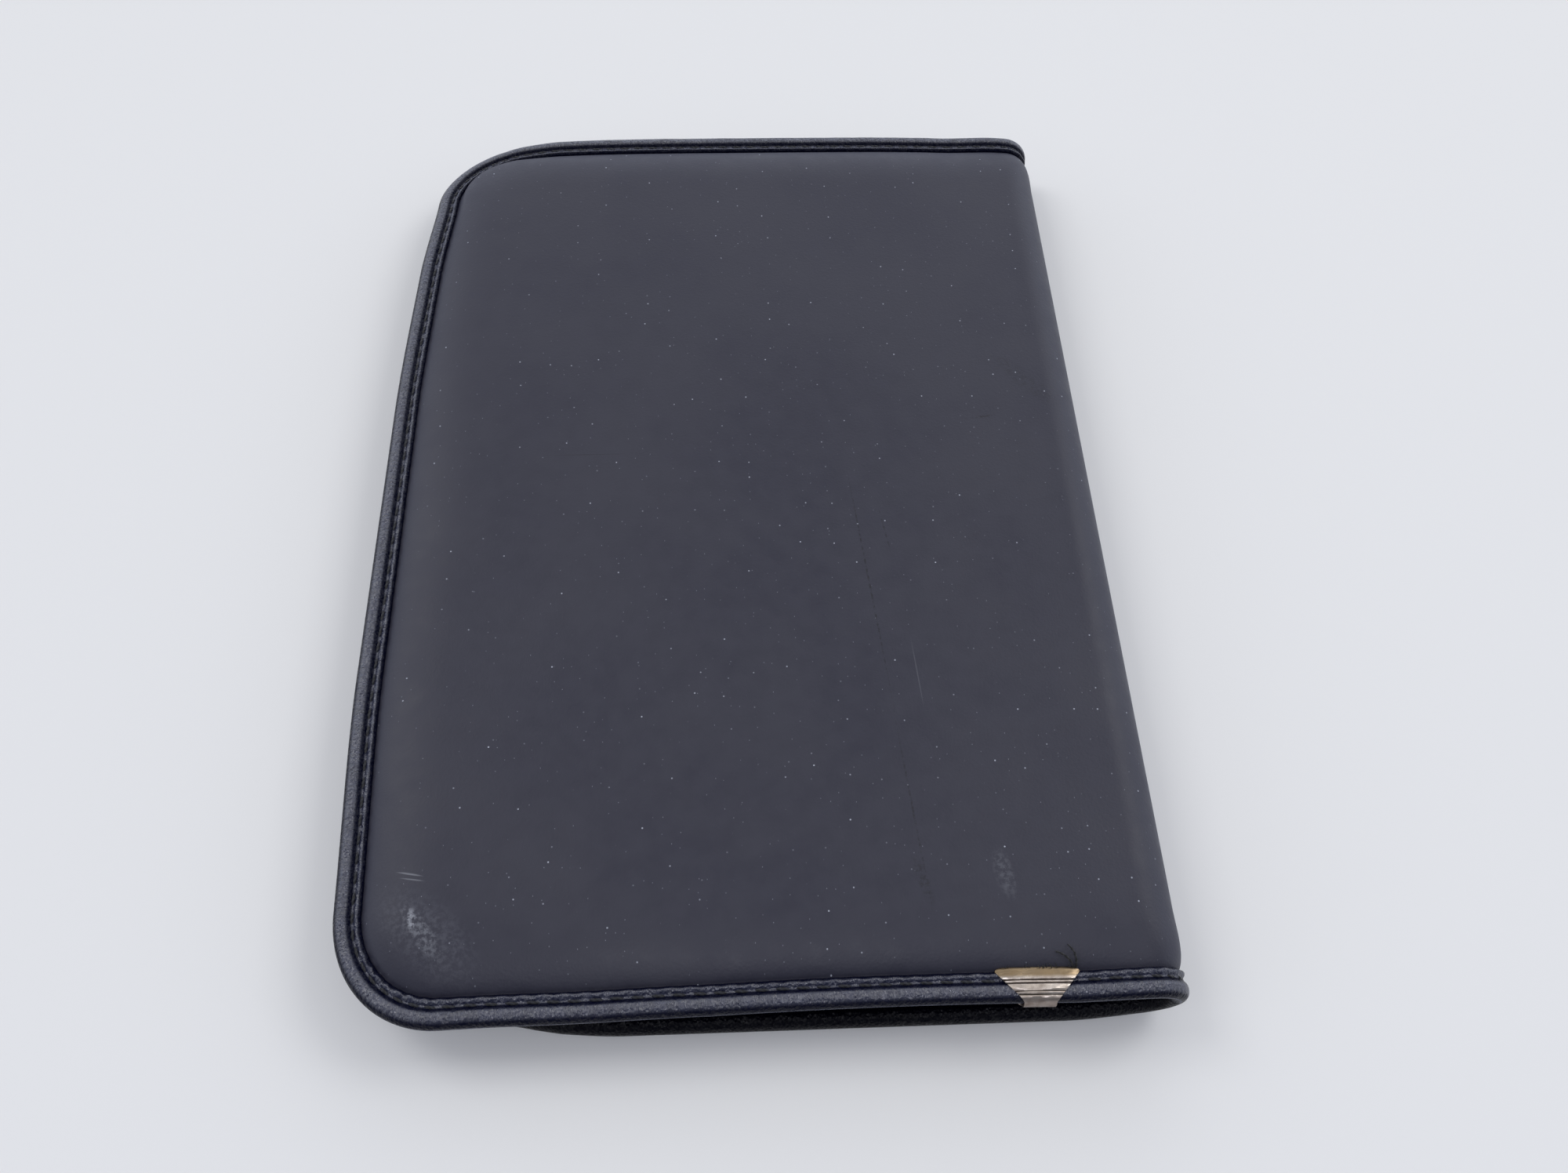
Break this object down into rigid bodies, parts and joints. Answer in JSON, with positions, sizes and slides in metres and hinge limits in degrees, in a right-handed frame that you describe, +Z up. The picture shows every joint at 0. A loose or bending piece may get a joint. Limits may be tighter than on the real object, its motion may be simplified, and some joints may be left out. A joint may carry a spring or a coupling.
{
  "type": "leather notebook cover",
  "caption": "Padded leather cover that folds round a notebook, with a rolled binding, a metal clip on the binding, inside pockets and a pen loop in the spine.",
  "frame": {"origin": "middle of the closed cover in plan, on the surface that its back cover lies on", "axes": "+X from the free edge to the spine, +Y from the bottom edge to the top edge, +Z up through the back cover to the front cover"},
  "size_m": [0.165, 0.2367, 0.0179],
  "materials": {
    "outer_leather": "smooth matte leather, lightly worn",
    "binding_leather": "fine grained semi-matte leather",
    "pocket_leather": "thin matte leather",
    "lining_cloth": "brushed woven lining",
    "foam": "closed-cell foam",
    "board": "grey-brown paperboard",
    "sewing_thread": "twisted polyester thread",
    "elastic": "ribbed elastic webbing",
    "clip_metal": "tarnished antique plating"
  },
  "bodies": {
    "back_cover": {"back_leather": "outer_leather", "back_foam": "foam", "back_board": "board", "back_lining": "lining_cloth", "back_binding": "binding_leather", "back_stitching": "sewing_thread", "pad_sleeve": "pocket_leather", "pad_sleeve_welt": "pocket_leather"},
    "spine": {"spine_leather": "outer_leather", "spine_foam": "foam", "spine_lining": "lining_cloth", "spine_binding_bottom": "binding_leather", "spine_binding_top": "binding_leather", "spine_stitching": "sewing_thread", "pen_loop": "elastic"},
    "front_cover": {"front_leather": "outer_leather", "front_foam": "foam", "front_board": "board", "front_lining": "lining_cloth", "front_binding": "binding_leather", "front_stitching": "sewing_thread", "document_pocket": "pocket_leather", "document_pocket_welt": "pocket_leather", "card_pocket_outer": "pocket_leather", "card_pocket_inner": "pocket_leather", "card_pocket_welts": "pocket_leather", "binding_clip": "clip_metal", "thread_tails": "sewing_thread"}
  },
  "joints": [
    {"name": "spine_fold", "type": "hinge", "parent": "back_cover", "child": "spine", "pos_m": [0.07986, 0, 0.00264], "axis": [0, 1, 0], "range_deg": [0, 90]},
    {"name": "front_fold", "type": "hinge", "parent": "spine", "child": "front_cover", "pos_m": [0.07986, 0, 0.01536], "axis": [0, 1, 0], "range_deg": [0, 90.8]}
  ]
}
